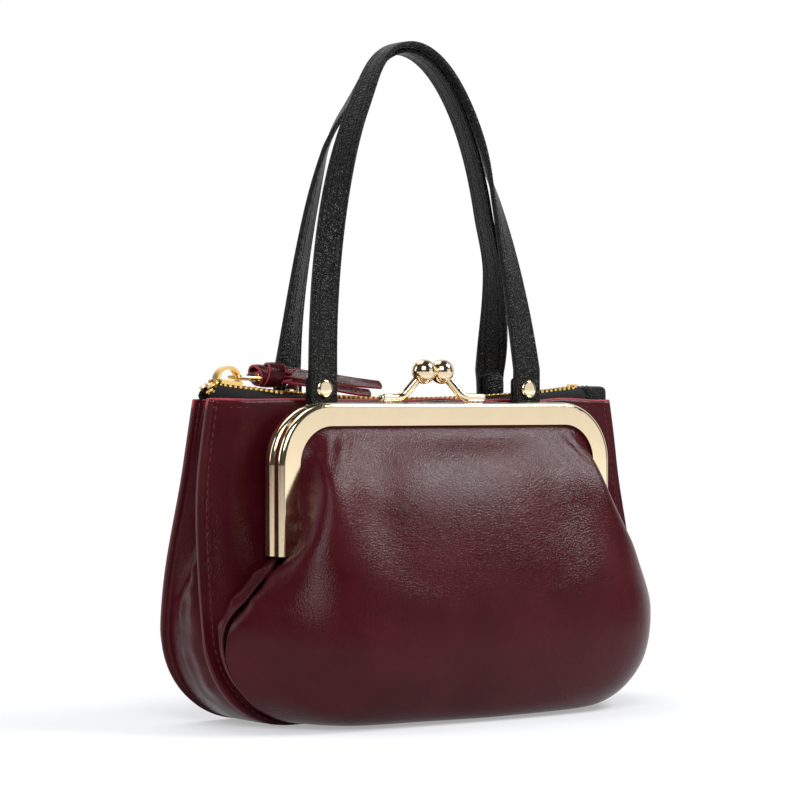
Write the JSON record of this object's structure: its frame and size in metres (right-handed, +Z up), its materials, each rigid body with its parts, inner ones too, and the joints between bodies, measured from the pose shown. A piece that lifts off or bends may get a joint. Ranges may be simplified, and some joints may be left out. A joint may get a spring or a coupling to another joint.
{
  "type": "kiss lock frame purse",
  "caption": "Small leather handbag with strap handles: a zip-top main bag, and on its front a pouch hung in a hinged kiss-lock frame with a crossed ball clasp.",
  "frame": {"origin": "on the floor, under the middle of the object's box", "axes": "+X along the frame, to the right seen from the front; -Y towards the pouch's front; +Z up, to the handles"},
  "size_m": [0.234, 0.087, 0.2945],
  "materials": {
    "burgundy_leather": "glossy",
    "black_leather": "satin",
    "gold_metal": "polished",
    "zip_brass": "polished",
    "zip_tape": "woven",
    "lining_cloth": "woven",
    "frame_cord": "twisted paper"
  },
  "bodies": {
    "main_bag": {"main_front_panel": "burgundy_leather", "main_rear_panel": "burgundy_leather", "main_gusset": "burgundy_leather", "main_lining_front": "lining_cloth", "main_lining_rear": "lining_cloth", "main_lining_gusset": "lining_cloth", "zip_bottom_stop": "zip_brass", "zip_end_tab": "black_leather", "front_strap_tabs": "black_leather", "front_strap_ends": "black_leather", "front_rivets": "gold_metal", "rear_strap_tabs": "black_leather", "rear_strap_ends": "black_leather", "rear_rivets": "gold_metal", "rear_frame": "gold_metal", "rear_frame_cord": "frame_cord", "rear_clasp": "gold_metal", "hinge_pins": "gold_metal", "pouch_rear_panel": "burgundy_leather", "pouch_lining": "lining_cloth", "pouch_gusset": "burgundy_leather", "pouch_front_panel_lower": "burgundy_leather"},
    "front_frame_half": {"front_frame": "gold_metal", "front_frame_cord": "frame_cord", "front_clasp": "gold_metal", "pouch_front_panel_upper": "burgundy_leather"},
    "slider": {"zip_slider": "zip_brass"},
    "zip_pull": {"zip_pull_link": "zip_brass", "pull_strap": "burgundy_leather", "pull_keeper": "burgundy_leather"},
    "front_tape": {"zip_tape_front": "zip_tape", "zip_teeth_front": "zip_brass", "zip_top_stop_front": "zip_brass"},
    "rear_tape": {"zip_tape_rear": "zip_tape", "zip_teeth_rear": "zip_brass", "zip_top_stop_rear": "zip_brass"},
    "front_loop": {"front_handle": "black_leather"},
    "rear_loop": {"rear_handle": "black_leather"}
  },
  "joints": [
    {"name": "frame_hinge", "type": "hinge", "parent": "main_bag", "child": "front_frame_half", "pos_m": [0, -0.00015, 0.0665], "axis": [1, 0, 0], "range_deg": [0, 60], "deforming": ["pouch_front_panel_upper", "pouch_front_panel_lower", "pouch_gusset"]},
    {"name": "zip_slide", "type": "hinge", "parent": "main_bag", "child": "slider", "pos_m": [0, 0.0245, 0.98183], "axis": [0, -1, 0], "range_deg": [0, 12.2], "deforming": ["zip_teeth_front", "zip_teeth_rear", "zip_tape_front", "zip_tape_rear"]},
    {"name": "pull_swing", "type": "hinge", "parent": "slider", "child": "zip_pull", "pos_m": [-0.09202, 0.0245, 0.14615], "axis": [0, -1, 0], "range_deg": [0, 150]},
    {"name": "front_tape_part", "type": "hinge", "parent": "main_bag", "child": "front_tape", "pos_m": [0, 0.0163, 0.1365], "axis": [1, 0, 0], "range_deg": [0, 50]},
    {"name": "rear_tape_part", "type": "hinge", "parent": "main_bag", "child": "rear_tape", "pos_m": [0, 0.0327, 0.1365], "axis": [-1, 0, 0], "range_deg": [0, 50]},
    {"name": "front_handle_fold", "type": "hinge", "parent": "main_bag", "child": "front_loop", "pos_m": [0, 0.01115, 0.15], "axis": [1, 0, 0], "range_deg": [0, 90], "stiffness_Nm_per_rad": 0.06},
    {"name": "rear_handle_fold", "type": "hinge", "parent": "main_bag", "child": "rear_loop", "pos_m": [0, 0.03785, 0.15], "axis": [-1, 0, 0], "range_deg": [0, 90], "stiffness_Nm_per_rad": 0.06}
  ],
  "couplings": [
    {"joint": "front_tape_part", "follows": "zip_slide", "ratio": 4.09},
    {"joint": "rear_tape_part", "follows": "zip_slide", "ratio": 4.09}
  ]
}
